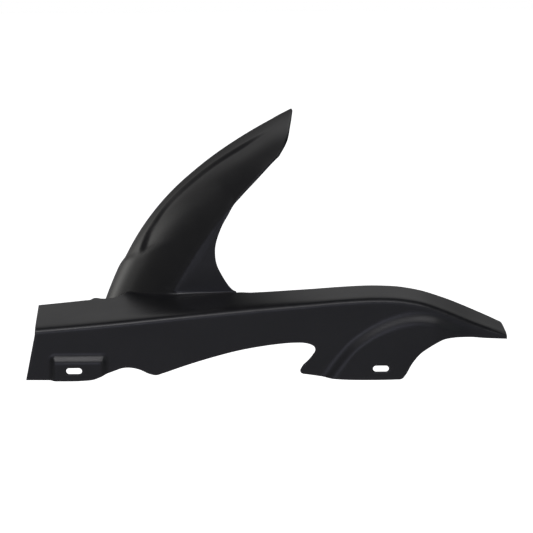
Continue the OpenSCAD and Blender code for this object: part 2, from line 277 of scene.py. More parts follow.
@dataclass(frozen=True)
class ChainGuard:
    """Side wall, fold and top band along the chain's upper run, with the two raised fixing pads."""

    wall_set: float = 5.0
    fold_r: float = 5.0
    band_tilt: float = 7.7
    crown_h: float = 1.7
    crown_reach: float = 20.0
    nose_x: float = -192.4
    nose_lean: float = 2.0
    tail_x: float = 279.7
    tail_lean: float = 2.2
    tail_round: float = 1.2
    pad_x: tuple[float, float, float, float] = (-179.0, -172.5, -126.0, -119.5)
    pad_z: tuple[float, float] = (7.6, 16.8)
    lobe_step: float = 6.5
    fold: Curve = Curve((
        (-205, 40.2), (-127, 46.5), (-47, 54.2), (28, 61.2), (79, 65.4), (118, 68.5), (150, 69.8),
        (176, 68.4), (198, 64), (214, 58.2), (247, 44.2), (279, 32.4),
    ))
    low_x: Curve = Curve((
        (-192.4, -202.3), (-172, -172), (-64, -64), (-47, -47.5), (-15, -15.4), (17, 16.7),
        (45, 48.7), (62, 66), (72, 76), (82, 83.4), (92, 87.3), (102, 87.7), (112, 84.5), (122, 80),
        (132, 75.3), (140, 72.8), (146, 75), (151, 81), (157, 92), (163, 104), (169, 121),
        (175, 144), (181, 168), (184, 174.3), (187, 178.1), (193, 184.1), (200, 192.2),
        (207, 200.6), (214, 208.6), (221, 216.5), (228, 224.5), (241, 240.5), (260, 258),
        (279.7, 279.7),
    ))
    low_z: Curve = Curve((
        (-192.4, -10.1), (-172, -10.4), (-150, -10.1), (-141, -9.1), (-133, -6.1), (-120, -1.5),
        (-110, 1.5), (-99, 1.6), (-90, -0.4), (-80, -4.5), (-72, -6.1), (-64, -3.9), (-47, 1.8),
        (-15, 11.8), (17, 19.8), (45, 24.8), (62, 26.2), (72, 26.1), (82, 24.4), (92, 21.6),
        (102, 17.5), (112, 12.4), (122, 7.2), (132, 2.6), (140, -2.8), (146, -5.6), (151, -6.5),
        (157, -8.2), (163, -10), (169, -11.2), (175, -11.6), (181, -11.3), (184, -10.8),
        (187, -6.8), (193, 3.9), (200, 14.1), (207, 20.5), (214, 25.4), (221, 29.2), (228, 30.6),
        (241, 30.9), (260, 29.6), (279.7, 28.7),
    ))
    inner_front: Curve = Curve((
        (-192.4, 78), (-170, 79.1), (-146, 80.4), (-141, 80.8), (-138.3, 84.4), (-135.5, 84.7),
        (-130, 81.3), (-124, 79.8), (-117, 80.6), (-112, 83.5), (-107, 89), (-103, 93.8),
    ))
    inner_rear: Curve = Curve((
        (8, 57), (17, 55.6), (33, 53.4), (70, 50.6), (90, 49.3), (130, 48.1), (171, 46.7),
        (198, 46.4), (212, 47.8), (232, 50.1), (242, 50.2), (252, 48.6), (262, 46.2), (279.7, 41),
    ))
    ridge: Curve = Curve((
        (96, -18), (104.6, -4), (113.6, 8.5), (124, 20.8), (138.7, 32.6), (157.6, 42.9),
        (178.6, 49.5), (191.6, 50.8), (205.6, 49.4), (228.6, 42), (252, 36),
    ))

    def band_z(self, x: Array, y: Array) -> Array:
        """Height of the top band: the fold's height plus its slope across."""
        return self.fold(x) + (y - self.wall_set) * math.tan(math.radians(self.band_tilt))

    def crown(self, y: Array, end: Array) -> Array:
        """Height of the band's soft crown.

        It grows as s*s/(s*s+reach) from just inside the fold, and falls to nothing at the end.

        Args:
            y: Places across.
            end: Y of the band's inner end.

        Returns:
            The height.
        """
        s = np.maximum(y - self.wall_set - 1.0, 0.0)
        share = np.clip((end - y) / (end - self.wall_set), 0.0, 1.0)
        return self.crown_h * share * s * s / (s * s + self.crown_reach)

    def raised(self, x: Array, z: Array) -> Array:
        """Share, 0 to 1, by which the wall stands out to the fixing pads.

        The front pad is a product of smooth steps, the rear lobe a step below its curved ridge.

        Args:
            x: Places along.
            z: Heights.

        Returns:
            The share.
        """
        rise, full, fall, end = self.pad_x
        pad = soft(x, rise, full) * (1 - soft(x, fall, end)) * (1 - soft(z, *self.pad_z))
        slope = np.where(x < 98.0, 1.5, self.ridge(x + 0.5) - self.ridge(x - 0.5))
        depth = (self.ridge(x) - z) / np.sqrt(1.0 + slope * slope)
        lobe = soft(depth, -self.lobe_step, self.lobe_step)
        lobe = lobe * (1 - soft(x, 205.0, 252.0)) * soft(x, 88.0, 100.0)
        return np.maximum(pad, lobe)

    def grid(self, at: Array, ends: Array, rows: "Rows") -> Array:
        """Cross lines from the lower edge up the wall, round the fold and over the band.

        Args:
            at: Place of each cross line on the fold.
            ends: X and Y of each cross line's inner end on the band.
            rows: Where the rows lie on wall, fold and band.

        Returns:
            Points of shape (lines, rows, 3).
        """
        x = at[:, None]
        top, low = self.fold(x), self.low_z(x)
        r = np.minimum(self.fold_r, 0.5 * (top - low))
        turn = math.radians(90.0 - self.band_tilt)
        length = r * math.tan(turn / 2.0)
        bow = soft(x, 78.0, 96.0) * (1 - soft(x, 196.0, 214.0))
        height = top - length - low
        w = rows.wall(height)
        v = 1.0 - w
        wall_x = x + (self.low_x(x) - x) * (v + bow * v * (v - 1.0))
        wall_z = low + height * w
        wall_y = self.wall_set * (1.0 - self.raised(wall_x, wall_z))
        wall = np.stack([wall_x, wall_y, wall_z], -1)
        g = turn * rows.fold[None, :]
        arc_y = self.wall_set + r - r * np.cos(g)
        arc_z = top - length + r * np.sin(g) + self.crown(arc_y, ends[:, 1:])
        arc = np.stack([x + 0 * g, arc_y, arc_z], -1)
        y0 = self.wall_set + length * math.cos(math.radians(self.band_tilt))
        u = rows.band(ends[:, 1:] - y0)
        y = y0 + (ends[:, 1:] - y0) * u
        tail = self.tail_lean * u + self.tail_round * u**8
        q = x + (ends[:, :1] - x) * u - soft(x, 258.0, self.tail_x) * tail
        band = np.stack([q, y, self.band_z(q, y) + self.crown(y, ends[:, 1:])], -1)
        return np.concatenate([wall, arc, band], axis=1)


@dataclass(frozen=True)
class Rows:
    """Where the rows of the chain guard lie, closer together along the rounded free edges."""

    rim: float = 0.9
    wall_steps: int = 26
    fold_steps: int = 12
    band_steps: int = 18

    @property
    def near_edge(self) -> Array:
        """Distances from a free edge that draw its rounding, as shares of the rim radius."""
        return np.array([0.0, 0.06, 0.22, 0.50, 0.78])

    def wall(self, height: Array) -> Array:
        """Shares of the wall height, 0 at the lower edge: close rows over the rim, then even."""
        first = np.minimum(self.rim / height, 0.25)
        rest = first + (1.0 - first) * np.arange(self.wall_steps) / self.wall_steps
        return np.concatenate([first * self.near_edge, rest], axis=1)

    @property
    def fold(self) -> Array:
        """Even shares of the fold's turn."""
        return np.arange(self.fold_steps) / self.fold_steps

    @property
    def fold_row(self) -> int:
        """Number of the row in the middle of the fold."""
        return len(self.near_edge) + self.wall_steps + self.fold_steps // 2

    def band(self, width: Array) -> Array:
        """Shares of the band width, 1 at the inner edge: even, then close rows over the rim."""
        last = np.minimum(self.rim / width, 0.25)
        even = (1.0 - last) * (np.arange(self.band_steps) / self.band_steps) ** 1.3
        return np.concatenate([even, 1.0 - last * np.flip(np.append(self.near_edge, 1.0))], axis=1)


@dataclass(frozen=True)
class Join:
    """How the arch and its flat web grow out of the top band, and the web's free edge above."""

    guard: ChainGuard
    mud: Mudguard
    t_in: float = 27.3
    t_web: float = 31.5
    t_out: float = 35.6
    web_x: float = -56.9
    out_x: float = 9.0
    crease_r: float = 2.0
    free_reach: float = 2.0
    roll_h: float = 0.7
    brow: float = 40.0
    middle: float = 22.0
    fan: tuple[float, ...] = (0.0, 0.03, 0.10, 0.20, 0.33, 0.47, 0.60, 0.74, 0.87)
    web_steps: int = 12
    bend_steps: int = 8
    fillet: Curve = Curve(((27.3, 0.8), (28.4, 3.2), (29.8, 6.5), (34.2, 6.5), (35.6, 0.8)))
    cove_x: Curve = Curve((
        (35.6, 9), (36.8, 5.5), (38, 2.6), (40, -2), (42, -6.8), (44, -10.6), (45.7, -12.2),
        (47, -12.3), (48.3, -10.9), (49.5, -8.2), (50.5, -4.7), (51.5, -0.2), (52.8, 4.4),
        (54.3, 10.4), (56, 17.2),
    ))
    cove_z: Curve = Curve((
        (35.6, 66.8), (36.8, 68.3), (38, 71), (40, 77.2), (42, 85.6), (44, 93.9), (45.7, 102.2),
        (47, 110.5), (48.3, 118.8), (49.5, 127), (50.5, 135.3), (51.5, 143.5), (52.8, 151.5),
        (54.3, 159.6), (56, 167.6),
    ))

    @property
    def crease_row(self) -> int:
        """Number of the point of each cross line that lies on the crease."""
        return len(self.fan) + self.web_steps + self.bend_steps // 2

    def meet(self, t: Array) -> Array:
        """Distance across at which the arch's cross line passes through the band's plane.

        Found by halving the range from 30 mm to the skirt edge 40 times for all lines at once.
        """
        low, high = np.full_like(t, 30.0), self.mud.half_width(t)
        for _ in range(40):
            middle = (low + high) / 2.0
            p = self.mud.point(t, middle)
            over = p[..., 2] > self.guard.band_z(p[..., 0], p[..., 1])
            low, high = np.where(over, middle, low), np.where(over, high, middle)
        return (low + high) / 2.0

    def foot(self, t: Array) -> Array:
        """Corner line where arch or web would meet the band without a fillet."""
        u = np.clip((t - self.t_web) / (self.t_out - self.t_web), 0.0, 1.0)
        x = self.web_x + (self.out_x - self.web_x) * (0.45 * u + 0.55 * u * u)
        y = self.mud.web_y(x)
        web = np.stack([x, y, self.guard.band_z(x, y)], -1)
        arch = self.mud.point(t, self.meet(np.minimum(t, self.t_web)))
        return np.where((t <= self.t_web)[..., None], arch, web)

    def toe(self, t: Array) -> Array:
        """Line on the band where the fillet starts: the corner line moved square to itself."""
        ahead, behind = np.minimum(t + 0.2, self.t_out), np.maximum(t - 0.2, self.t_in)
        along = self.foot(ahead) - self.foot(behind)
        length = np.hypot(along[..., 0], along[..., 1])
        base, d = self.foot(t), self.fillet(t)
        x = base[..., 0] + d * along[..., 1] / length
        y = base[..., 1] - d * along[..., 0] / length
        return np.stack([x, y, self.guard.band_z(x, y)], -1)

    def edge(self, t: Array) -> tuple[Array, Array]:
        """Start of each cross line.

        Args:
            t: Angles of the cross lines.

        Returns:
            The starts, and the distance across at which each line enters the arch.
        """
        width = self.mud.half_width(t)
        skirt = self.mud.shaped(t, width)
        meet = self.meet(np.clip(t, self.t_in, self.t_web))
        x = self.cove_x(t)
        cove = np.stack([x, self.mud.web_y(x), self.cove_z(t)], -1)
        free = blend(cove, skirt, soft(t, 52.0, 55.5))
        start = np.where((t < self.t_in)[:, None], self.mud.shaped(t, meet), self.foot(t))
        start = np.where((t > self.t_out)[:, None], free, start)
        return start, np.where(t <= self.t_web, meet, width)

    def roll(self, t: Array, gap: Array, points: Array) -> Array:
        """How far the web stands out to the left beside the crease.

        A smooth step from the crease, less towards the band and the arch's edge.

        Args:
            t: Angles of the cross lines.
            gap: Distance of each point to the crease.
            points: Points of the web.

        Returns:
            The offset against Y.
        """
        above = points[..., 2] - self.guard.band_z(points[..., 0], points[..., 1])
        ends = soft(t, self.t_web + 0.4, self.t_out) * (1.0 - soft(t, 50.0, 54.0))
        return self.roll_h * soft(gap, 0.3, 7.0) * soft(above, 1.0, 30.0) * ends

    def lines(self, t: Array) -> Array:
        """Cross lines from the band or free edge over web, crease and arch to the right-hand edge.

        Each is a path in its own length s: straight over the web to the crease, then over the
        arch. Parabolas round the crease and make the fillet from its toe on the band to the path.

        Args:
            t: Angles of the cross lines.

        Returns:
            Points of shape (lines, rows, 3).
        """
        start, across = self.edge(t)
        width = self.mud.half_width(t)
        crease = np.where((t <= self.t_web)[:, None], start, self.mud.shaped(t, width))
        length = np.linalg.norm(crease - start, axis=1)
        one = self.mud.shaped(t, across) - self.mud.shaped(t, across - 1.0)
        rate = 1.0 / np.linalg.norm(one, axis=1)
        joined = (t >= self.t_in) & (t <= self.t_out)
        reach = np.where(joined, self.fillet(t), self.free_reach)
        reach = np.where(t < self.t_in, 0.8, reach)
        toe = self.toe(np.clip(t, self.t_in, self.t_out))[:, None, :]
        columns = (t, across, width, length, rate, reach)
        t, across, width, length, rate, reach = (values[:, None] for values in columns)
        start, crease, r = start[:, None, :], crease[:, None, :], self.crease_r

        def path(s: Array) -> Array:
            """Point at length s: start plus a share of the web, or the arch past the crease."""
            share = np.clip(s / np.maximum(length, 1e-6), 0.0, 1.0)
            arch = self.mud.shaped(t + 0 * s, across - rate * (s - length))
            return np.where((s < length)[..., None], blend(start, crease, share), arch)

        def rounded(s: Array) -> Array:
            """Path with the crease eased by a parabola of the crease radius."""
            ease = np.minimum(r, 0.9 * length)
            u = (s - length + ease) / np.maximum(2.0 * ease, 1e-6)
            near = (u > 0.0) & (u < 1.0) & (ease > 0.02)
            bend = parabola(path(length - ease), crease, path(length + ease), np.clip(u, 0.0, 1.0))
            return np.where(near[..., None], bend, path(s))

        top = np.maximum(length, reach + 2.0 * r)
        u = np.array(self.fan)
        fillet = parabola(toe, start, rounded(reach), u[None, :])
        first = np.where(joined[:, None, None], fillet, rounded(reach * u))
        web = rounded(reach + (top - r - reach) * np.arange(self.web_steps) / self.web_steps)
        bend = rounded(top - r + 2.0 * r * np.arange(self.bend_steps) / self.bend_steps)
        a0 = across - rate * (top + r - length)
        flank_a = a0 + (self.brow - a0) * np.arange(18) / 18.0
        spine_a = ramp((self.brow, self.middle, 14), (self.middle, 0.0, 6))[None, :-1] + 0 * a0
        flat = np.concatenate([flank_a, spine_a], axis=1)
        left = self.mud.shaped(t + 0 * flat, flat)
        rows = Rows()
        inner = ramp((0.0, self.middle, 6), (self.middle, self.brow, 14))[None, :-1] + 0 * a0
        outer = self.brow + (width - rows.rim - self.brow) * np.arange(20) / 20.0
        rim = width - rows.rim * np.flip(rows.near_edge)
        flat = np.concatenate([inner, outer, rim], axis=1)
        right = self.mud.shaped(t + 0 * flat, flat, Flank.RIGHT.value)
        return np.concatenate([first, web, bend, left, right], axis=1)


# Skins


@dataclass
class Patch:
    """A grid of points with the distance of each to the free edges and to the nearest fold."""

    points: Array
    edge: Array
    fold: Array


def distance_to(points: Array, border: Array) -> Array:
    """Length from each grid point to its partner on a border row or column."""
    return np.linalg.norm(points - border, axis=-1)


def grid_normals(points: Array) -> Array:
    """Unit normals of a grid: the cross product of its differences along both directions."""
    return unit(np.cross(np.gradient(points, axis=0), np.gradient(points, axis=1)))


def grid_faces(index: Array) -> Array:
    """Four-cornered faces of a grid of vertex numbers, wound the same way throughout."""
    corners = [index[:-1, :-1], index[1:, :-1], index[1:, 1:], index[:-1, 1:]]
    return np.stack(corners, -1).reshape(-1, 4)


@dataclass
class Shell:
    """The outer skin offset to an inner skin, with rounded rims closing the free edges."""

    wall: float = 3.0
    rim: float = 0.9

    def vertex_normals(self, points: Array, faces: Array) -> Array:
        """Unit normals at the points: the sum of the area vectors of the faces around each."""
        p = points[faces]
        area = np.cross(p[:, 2] - p[:, 0], p[:, 3] - p[:, 1])
        total = np.zeros_like(points)
        for corner in range(4):
            np.add.at(total, faces[:, corner], area)
        return unit(total)

    def free_edges(self, faces: Array) -> Array:
        """Directed edges that only one face uses.

        Args:
            faces: Four-cornered faces.

        Returns:
            Pairs of vertex numbers.
        """
        pairs = np.concatenate([faces[:, [k, (k + 1) % 4]] for k in range(4)])
        pairs = pairs[pairs[:, 0] != pairs[:, 1]]
        count = faces.max() + 1
        forward, backward = pairs @ np.array([count, 1]), pairs @ np.array([1, count])
        return pairs[~np.isin(forward, backward)]

    def close(self, points: Array, faces: Array, edge: Array, wall: Array,
              flat: Array) -> tuple[Array, Array]:
        """Both skins and the rim.

        The outer skin sinks by a quarter circle towards each free edge and the inner one rises by
        the same.

        Args:
            points: Outer skin.
            faces: Its faces.
            edge: Distance of each point to the nearest free edge.
            wall: Thickness at each point.
            flat: Which points lie on the flat web, whose normal is known.

        Returns:
            All points and all faces of the closed shell.
        """
        normals = self.vertex_normals(points, faces)
        side = unit(np.array([-Mudguard.web_lean, -1.0, 0.0]))
        normals[flat] = side * np.sign(np.sum(normals[flat] @ side))
        r = np.minimum(self.rim, 0.3 * wall)
        near = np.clip(r - edge, 0.0, r)
        sink = r - np.sqrt(np.maximum(r * r - near * near, 0.0))
        outer = points - normals * sink[:, None]
        inner = points - normals * (wall - sink)[:, None]
        count = len(points)
        a, b = self.free_edges(faces).T
        rim = np.stack([b, a, a + count, b + count], -1)
        return np.concatenate([outer, inner]), np.concatenate([faces, faces[:, ::-1] + count, rim])


@dataclass
class Hugger:
    """The whole moulding: chain guard and mudguard joined into one shell with two slots."""

    guard: ChainGuard = field(default_factory=ChainGuard)
    mud: Mudguard = field(default_factory=Mudguard)
    shell: Shell = field(default_factory=Shell)
    rows: Rows = field(default_factory=Rows)
    slot_spacing: float = 307.0
    slot_l: float = 16.0
    slot_w: float = 6.6
    plug: tuple = ((-4.0, 0.0, 0.18, 0.4, 12.0), (0.42, 0.42, 0.12, 0.0, 0.0))
    thinning: float = 0.6
    thin_from: float = 215.0
    thin_to: float = 283.0
    edge_reach: float = 1.6
    # Reach and share of the painted highlight along the fold and the crease.
    fold_highlight_reach: float = 2.6
    fold_highlight_share: float = 0.55
    sharp_angle: float = 38.0

    def __post_init__(self) -> None:
        """Sets out the join of the two forms."""
        self.join = Join(self.guard, self.mud)

    def stations(self) -> tuple[Array, slice]:
        """Sets out the mudguard's cross lines.

        Returns:
            Their angles, and which of them are joined to the chain guard.
        """
        join, foot, tip = self.join, self.mud.foot_a, self.mud.tip_a
        close, rim = self.mud.turn_per_mm * self.shell.rim * self.rows.near_edge, 0.15
        before = np.concatenate([foot + close, ramp((foot + rim, join.t_in, 16))[:-1]])
        joined = ramp((join.t_in, join.t_web, 26), (join.t_web, join.t_out, 44))
        after = ramp(
            (join.t_out, 40.0, 12), (40.0, 51.0, 26), (51.0, 56.0, 18), (56.0, tip - rim, 30))
        after = np.concatenate([after[1:], np.flip(tip - close)])
        first = len(before)
        return np.concatenate([before, joined, after]), slice(first, first + len(joined))

    def columns(self, toes: Array) -> tuple[Array, Array, slice]:
        """Cross lines of the chain guard.

        Args:
            toes: The join's toe line, where the joined cross lines end.

        Returns:
            Places on the fold, inner ends, and which cross lines are joined.
        """
        guard, rim = self.guard, self.shell.rim
        close = rim * self.rows.near_edge
        first, last = toes[0], toes[-1]
        front = np.concatenate([guard.nose_x + close, ramp(
            (guard.nose_x + rim, -180.0, 6), (-180.0, -171.0, 8), (-171.0, -142.0, 13),
            (-142.0, -118.0, 18), (-118.0, first[0] - 0.5, 14))])
        rear = ramp(
            (last[0], 70.0, 28), (70.0, 95.0, 20), (95.0, 150.0, 38), (150.0, 190.0, 42),
            (190.0, 255.0, 44), (255.0, guard.tail_x - rim, 16))
        rear = np.concatenate([rear[1:], np.flip(guard.tail_x - close)])
        to_first = soft(front, -109.0, first[0])
        front_y = guard.inner_front(front) * (1 - to_first) + first[1] * to_first
        front_x = front + np.where(front < -180.0, guard.nose_lean * (front + 180.0) / 12.0, 0.0)
        from_last = soft(rear, last[0], 24.0)
        rear_y = guard.inner_rear(rear) * from_last + last[1] * (1 - from_last)
        at = np.concatenate([front, toes[:, 0], rear])
        x = np.concatenate([front_x, toes[:, 0], rear])
        y = np.concatenate([front_y, toes[:, 1], rear_y])
        return at, np.stack([x, y], -1), slice(len(front), len(front) + len(toes))

    def free_distance(self, p: Array, joined: slice, row: int) -> Array:
        """Distance of each grid point to the nearest free edge or end of the join.

        Args:
            p: Points of the grid.
            joined: Which cross lines are joined.
            row: First or last row, 0 or -1, in which they are joined.

        Returns:
            The distances.
        """
        side = distance_to(p, p[:, [row]])
        side[joined] = FAR
        borders = (p[:, [-1 - row]], p[:1], p[-1:], p[joined.start, row], p[joined.stop - 1, row])
        return np.minimum.reduce([side] + [distance_to(p, border) for border in borders])

    def mud_patch(self, t: Array, joined: slice) -> Patch:
        """The mudguard's grid with its relief and the rolled web.

        Args:
            t: Angles of the cross lines.
            joined: Which of them are joined.

        Returns:
            The patch.
        """
        p = self.join.lines(t)
        arch = p - np.array([self.mud.axle_x, 0.0, -self.mud.axle_z])
        angle = np.degrees(np.arctan2(arch[..., 2], -arch[..., 0]))
        side = p[..., 1] - self.mud.wheel_y
        p = p + grid_normals(p) * self.mud.relief(angle, np.abs(side), side)[..., None]
        row = self.join.crease_row
        crease = distance_to(p, p[:, [row]])
        crease[~((t > self.join.t_web + 0.4) & (t < 54.0))] = FAR
        p[:, :row, 1] -= self.join.roll(t[:, None], crease[:, :row], p[:, :row])
        return Patch(p, self.free_distance(p, joined, 0), crease)

    def moulding(self) -> bpy.types.Object:
        """Joins both patches along the toe line and closes the shell.

        Returns:
            The mesh object with its marks.
        """
        t, of_mud = self.stations()
        at, ends, of_guard = self.columns(self.join.toe(t[of_mud]))
        p = self.guard.grid(at, ends, self.rows)
        fold = distance_to(p, p[:, [self.rows.fold_row]])
        guard = Patch(p, self.free_distance(p, of_guard, -1), fold)
        mud = self.mud_patch(t, of_mud)
        guard_index = np.arange(guard.edge.size).reshape(guard.edge.shape)
        mud_index = guard.edge.size + np.arange(mud.edge.size).reshape(mud.edge.shape)
        mud_index[of_mud, 0] = guard_index[of_guard, -1]
        faces = np.concatenate([grid_faces(guard_index), grid_faces(mud_index)])
        used, faces = np.unique(faces, return_inverse=True)
        faces = faces.reshape(-1, 4)
        points = np.concatenate([guard.points.reshape(-1, 3), mud.points.reshape(-1, 3)])[used]
        edge = np.concatenate([guard.edge.ravel(), mud.edge.ravel()])[used]
        fold = np.concatenate([guard.fold.ravel(), mud.fold.ravel()])[used]
        thin = soft(points[:, 0], self.thin_from, self.thin_to)
        wall = self.shell.wall * (1.0 - self.thinning * thin)
        wall = np.where(points[:, 2] > 80.0, self.shell.wall, wall)
        cove = points - mud.points[of_mud.stop, 0]
        above = points[:, 2] - self.guard.band_z(points[:, 0], points[:, 1])
        flat = (np.linalg.norm(cove, axis=1) < 9.0) & (above > 0.15) & (cove[:, 1] > -0.2)
        solid, all_faces = self.shell.close(points, faces, edge, wall, flat)
        at_edge = np.exp(-((edge / self.edge_reach) ** 2))
        # Painted highlight: a lighter line along the fold and the crease, merged with the wear mark
        # at the free edges.
        fold_highlight = self.fold_highlight_share * np.exp(-((fold / self.fold_highlight_reach) ** 2))
        inside = np.repeat([0.0, 1.0], len(points))
        marks = {Mark.EDGE: np.tile(np.maximum(at_edge, fold_highlight), 2), Mark.INSIDE: inside}
        return new_mesh("hugger_moulding", solid * METRES, all_faces.tolist(), marks)

    def slot_cutter(self, x: float) -> bpy.types.Object:
        """A long round-ended plug for one slot, along Y, that widens at the pad's face.

        Args:
            x: Middle of the slot.

        Returns:
            The plug.
        """
        r = self.slot_w / 2.0
        turn = np.radians(np.arange(64) * 360.0 / 64.0)
        half = self.slot_l / 2.0 - r
        centre = np.where(np.cos(turn) >= 0.0, half, -half)
        y, grow = np.array(self.plug)[..., None]
        ring = np.stack([
            x + centre + (r + grow) * np.cos(turn), y + 0 * turn, (r + grow) * np.sin(turn)], -1)
        index = np.arange(ring[..., 0].size).reshape(ring.shape[:2])
        index = np.concatenate([index, index[:, :1]], axis=1)
        caps = [index[0, -2::-1].tolist(), index[-1, :-1].tolist()]
        points = ring.reshape(-1, 3) * METRES
        return new_mesh("slot_plug", points, grid_faces(index).tolist() + caps, {})

    def build(self) -> bpy.types.Object:
        """Builds the moulding and cuts both slots through their pads.

        Returns:
            The finished object.
        """
        body = self.moulding()
        for sign in (-1.0, 1.0):
            plug = self.slot_cutter(sign * self.slot_spacing / 2.0)
            cut = body.modifiers.new("slot", "BOOLEAN")
            cut.operation, cut.solver, cut.object = "DIFFERENCE", "EXACT", plug
            bake_modifiers(body)
            bpy.data.objects.remove(plug)
        body.data.shade_smooth()
        body.data.set_sharp_from_angle(angle=math.radians(self.sharp_angle))
        return body


# Blender helpers


def link(obj: bpy.types.Object) -> bpy.types.Object:
    """Puts an object into the scene's collection."""
    bpy.context.scene.collection.objects.link(obj)
    return obj


def face_out(mesh: bpy.types.Mesh) -> None:
    """Turns a closed mesh's faces outwards, judged by its signed volume."""
    mesh.calc_loop_triangles()
    places = [[mesh.vertices[k].co for k in part.vertices] for part in mesh.loop_triangles]
    a, b, c = np.array(places).transpose(1, 0, 2)
    if np.sum(a * np.cross(b, c)) < 0.0:
        mesh.flip_normals()
    mesh.update()


def new_mesh(name: str, points: Array, faces: list, marks: dict) -> bpy.types.Object:
    """Makes a mesh object.

    Args:
        name: Object and mesh name.
        points: Places in metres.
        faces: The corners of each face.
        marks: One value per point for each mark.

    Returns:
        The linked object, with its faces outwards.
    """
    mesh = bpy.data.meshes.new(name)
    mesh.from_pydata(points.tolist(), [], faces)
    for mark, values in marks.items():
        layer = mesh.attributes.new(mark.value, "FLOAT", "POINT")
        layer.data.foreach_set("value", values.astype(np.float32))
    mesh.validate()
    face_out(mesh)
    return link(bpy.data.objects.new(name, mesh))


def bake_modifiers(obj: bpy.types.Object) -> None:
    """Replaces an object's mesh by the one its modifiers give."""
    graph = bpy.context.evaluated_depsgraph_get()
    mesh = bpy.data.meshes.new_from_object(obj.evaluated_get(graph))
    obj.modifiers.clear()
    old, obj.data = obj.data, mesh
    bpy.data.meshes.remove(old)


# Finish


class NodeKit:
    """Short ways to place and join nodes in a tree."""

    def __init__(self, tree: bpy.types.NodeTree) -> None:
        """Keeps the tree and empties it."""
        self.tree = tree
        tree.nodes.clear()

    def add(self, kind: str, given: dict | None = None, **settings: object) -> bpy.types.Node:
        """Adds a node.

        Args:
            kind: Node type.
            given: A socket or a constant for each input, by number or name.
            settings: Properties of the node.

        Returns:
            The node.
        """
        node = self.tree.nodes.new(kind)
        for name, value in settings.items():
            setattr(node, name, value)
        for name, source in (given or {}).items():
            self.join(source, node.inputs[name])
        return node

    def join(self, source: object, target: Socket) -> None:
        """Links an output socket to an input socket, or sets the input to a constant."""
        if isinstance(source, Socket):
            self.tree.links.new(source, target)
        else:
            target.default_value = source

    def group(self, tree: bpy.types.NodeTree, given: dict) -> bpy.types.bpy_prop_collection:
        """A placed node group's outputs."""
        return self.add("ShaderNodeGroup", given, node_tree=tree).outputs

    def math(self, operation: str, a: object, b: object = 0.0, clamp: bool = False) -> Socket:
        """A Math node on two values or sockets."""
        given = {0: a, 1: b}
        return self.add("ShaderNodeMath", given, operation=operation, use_clamp=clamp).outputs[0]

    def noise(self, vector: object, scale: object, detail: float, rough: float) -> Socket:
        """A Noise node's factor."""
        given = {"Vector": vector, "Scale": scale, "Detail": detail, "Roughness": rough}
        return self.add("ShaderNodeTexNoise", given).outputs["Fac"]

    def map(self, value: object, low: float, high: float, start: float, end: float) -> Socket:
        """A Map Range node from low..high to start..end, held at its ends."""
        given = dict(enumerate((value, low, high, start, end)))
        return self.add("ShaderNodeMapRange", given).outputs["Result"]

    def mix(self, share: object, first: object, second: object, blend: str = "MIX") -> Socket:
        """A colour mix."""
        given = {0: share, 6: first, 7: second}
        return self.add("ShaderNodeMix", given, data_type="RGBA", blend_type=blend).outputs[2]

    def split_rays(self, end: str, others: Socket, camera: Socket) -> None:
        """Ends the tree in one shader for the camera's own rays and another for all others."""
        seen = self.add("ShaderNodeLightPath").outputs["Is Camera Ray"]
        mixed = self.add("ShaderNodeMixShader", {0: seen, 1: others, 2: camera}).outputs[0]
        self.add(end, {"Surface": mixed})


def new_group(name: str, inputs: tuple[str, ...], outputs: tuple[str, ...]) -> tuple:
    """Starts a node group whose sockets Vector and Normal are vectors and all others numbers.

    Args:
        name: Group name.
        inputs: Names of its inputs.
        outputs: Names of its outputs.

    Returns:
        Its kit, the sockets it is given and the sockets it fills, both by name.
    """
    tree = bpy.data.node_groups.new(name, "ShaderNodeTree")
    for in_out, labels in (("INPUT", inputs), ("OUTPUT", outputs)):
        for label in labels:
            kind = "NodeSocketVector" if label in ("Vector", "Normal") else "NodeSocketFloat"
            tree.interface.new_socket(name=label, in_out=in_out, socket_type=kind)
    kit = NodeKit(tree)
    return kit, kit.add("NodeGroupInput").outputs, kit.add("NodeGroupOutput").inputs


def mould_grain() -> bpy.types.NodeTree:
    """Group for the moulded surface: fine spark grain over slow flow waves.

    Height is grain plus waves; Patches is the slow wave alone, for roughness and colour.
    """
    kit, ins, outs = new_group(
        "mould_grain", ("Vector", "Grain Scale", "Grain", "Waves"), ("Height", "Patches"))
    grain = kit.noise(ins["Vector"], ins["Grain Scale"], 3.0, 0.65)
    waves = kit.noise(ins["Vector"], 26.0, 2.0, 0.45)
    patches = kit.noise(ins["Vector"], 11.0, 4.0, 0.6)
    fine = kit.math("MULTIPLY", grain, ins["Grain"])
    slow = kit.math("MULTIPLY", waves, ins["Waves"])
    kit.join(kit.math("ADD", fine, slow), outs["Height"])
    kit.join(patches, outs["Patches"])
    return kit.tree


def wear_and_highlight_group() -> bpy.types.NodeTree:
    """Group for worn free edges and the painted highlight along the fold and crease: the mark
    broken up by noise, held between 0 and 1.
    """
    kit, ins, outs = new_group("wear_and_highlight_group", ("Vector", "Mark", "Amount"), ("Wear And Highlight",))
    chips = kit.map(kit.noise(ins["Vector"], 160.0, 5.0, 0.6), 0.42, 0.68, 0.25, 1.0)
    wear_and_highlight = kit.math("MULTIPLY", ins["Mark"], chips)
    kit.join(kit.math("MULTIPLY", wear_and_highlight, ins["Amount"], clamp=True), outs["Wear And Highlight"])
    return kit.tree


def settled_dust() -> bpy.types.NodeTree:
    """Group for handling dust: more on faces that look up, in soft specks."""
    kit, ins, outs = new_group("settled_dust", ("Vector", "Normal", "Amount"), ("Dust",))
    split = kit.add("ShaderNodeSeparateXYZ", {0: ins["Normal"]})
    up = kit.map(split.outputs["Z"], -0.2, 1.0, 0.15, 1.0)
    cloud = kit.map(kit.noise(ins["Vector"], 38.0, 6.0, 0.7), 0.35, 0.75, 0.0, 1.0)
    dust = kit.math("MULTIPLY", up, cloud)
    kit.join(kit.math("MULTIPLY", dust, ins["Amount"], clamp=True), outs["Dust"])
    return kit.tree


